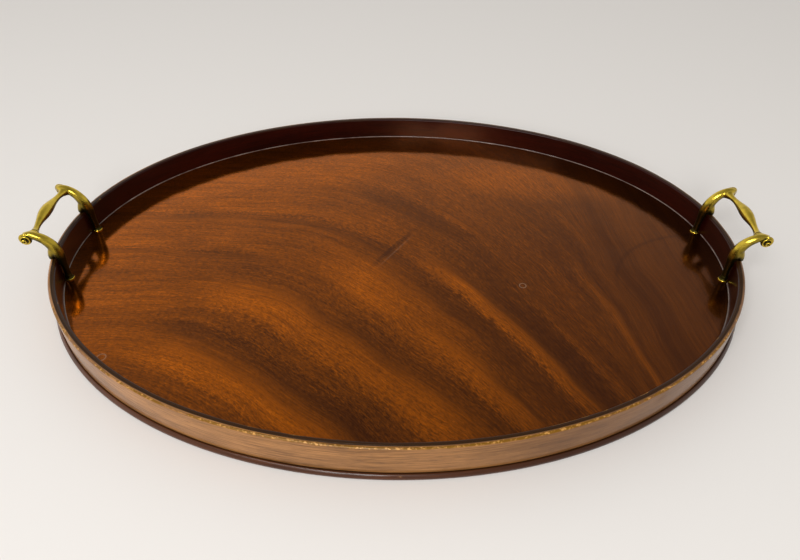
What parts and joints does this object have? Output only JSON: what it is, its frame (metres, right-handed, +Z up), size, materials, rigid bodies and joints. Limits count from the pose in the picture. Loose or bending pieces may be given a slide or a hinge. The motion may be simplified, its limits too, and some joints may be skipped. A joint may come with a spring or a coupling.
{
  "type": "oval gallery tray",
  "caption": "Oval serving tray with a figured veneer floor, a tall bent-wood gallery and cast scroll handles fixed over the rim at each end.",
  "frame": {"origin": "centre of the oval, on the plane that the tray stands on", "axes": "+X runs through both handles, +Y runs across the tray, +Z points up out of the tray"},
  "size_m": [0.638, 0.4634, 0.0618],
  "materials": {
    "figured_veneer": "French-polished flame mahogany veneer",
    "plain_wood": "stained, thinly finished mahogany",
    "gallery_wood": "French-polished dark mahogany, worn along the top edge",
    "bead_wood": "French-polished mahogany moulding",
    "cast_brass": "aged, hand-polished cast brass",
    "screw_brass": "dull brass"
  },
  "bodies": {
    "root": {"floor_veneer": "figured_veneer", "core_panel": "plain_wood", "back_veneer": "plain_wood", "gallery_inner_ply_front": "gallery_wood", "gallery_inner_ply_rear": "gallery_wood", "gallery_outer_ply_front": "gallery_wood", "gallery_outer_ply_rear": "gallery_wood", "base_bead_front": "bead_wood", "base_bead_rear": "bead_wood", "grip_left": "cast_brass", "arm_left_front": "cast_brass", "handle_screw_left_front": "screw_brass", "screw_washer_left_front": "screw_brass", "arm_left_rear": "cast_brass", "handle_screw_left_rear": "screw_brass", "screw_washer_left_rear": "screw_brass", "grip_right": "cast_brass", "arm_right_front": "cast_brass", "handle_screw_right_front": "screw_brass", "screw_washer_right_front": "screw_brass", "arm_right_rear": "cast_brass", "handle_screw_right_rear": "screw_brass", "screw_washer_right_rear": "screw_brass"}
  },
  "joints": []
}
